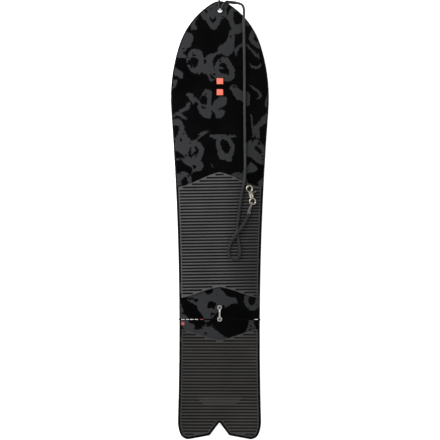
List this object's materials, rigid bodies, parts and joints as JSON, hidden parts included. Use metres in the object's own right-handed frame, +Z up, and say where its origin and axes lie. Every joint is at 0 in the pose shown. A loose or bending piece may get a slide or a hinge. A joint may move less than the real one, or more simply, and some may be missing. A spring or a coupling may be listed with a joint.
{
  "type": "binding-free powder snowboard",
  "caption": "Swallow-tailed powder board without bindings: layered wood-core deck, ribbed foam traction pads, leash anchor and a nose cord ending in a swivel snap hook.",
  "frame": {"origin": "middle of the board's length and width, on the plane of the flat running base", "axes": "+Y towards the nose, +X to the right seen from above with the nose away, +Z up through the deck"},
  "size_m": [0.3382, 1.5168, 0.0927],
  "materials": {
    "base": "sintered base, semi-gloss",
    "laminate": "glass laminate in epoxy",
    "poplar": "sawn wood",
    "paulownia": "sawn wood",
    "sidewall": "ABS, sanded",
    "topsheet": "printed sheet, satin",
    "pad_front": "ribbed foam, matt",
    "pad_rear": "ribbed foam, matt",
    "anchor": "satin silver",
    "screw": "steel",
    "insert": "steel",
    "eyelet": "black enamel",
    "cord": "braided polyester",
    "thin_cord": "braided polyester",
    "sleeve": "shrunk tube, matt",
    "snap": "nickel plated zinc"
  },
  "bodies": {
    "board": {"base_sheet": "base", "lower_laminate": "laminate", "core_poplar": "poplar", "core_paulownia": "paulownia", "sidewall_left": "sidewall", "sidewall_right": "sidewall", "nose_spacer": "sidewall", "tail_spacer_left": "sidewall", "tail_spacer_right": "sidewall", "upper_laminate": "laminate", "topsheet": "topsheet", "front_pad": "pad_front", "rear_pad": "pad_rear", "insert_front": "insert", "insert_rear": "insert", "anchor_plate": "anchor", "anchor_screw_front": "screw", "anchor_screw_rear": "screw", "eyelet_upper": "eyelet", "eyelet_lower": "eyelet", "nose_loop": "thin_cord", "leash_sleeve": "sleeve", "leash_cord": "cord", "leash_whipping": "sleeve", "leash_eye": "thin_cord", "swivel_ring": "snap"},
    "snap": {"snap_body": "snap", "gate_pin": "screw", "gate_spring": "screw"},
    "gate": {"snap_gate": "snap"}
  },
  "joints": [
    {"name": "snap_swivel", "type": "hinge", "parent": "board", "child": "snap", "pos_m": [0.1133, 0.0654, 0.0216], "axis": [-0.2419, 0.9703, 0], "range_deg": [-15, 15]},
    {"name": "gate_hinge", "type": "hinge", "parent": "snap", "child": "gate", "pos_m": [0.10604, 0.09451, 0.0216], "axis": [0, 0, 1], "range_deg": [-32, 0], "stiffness_Nm_per_rad": 0.05, "springref_deg": 17.19}
  ]
}
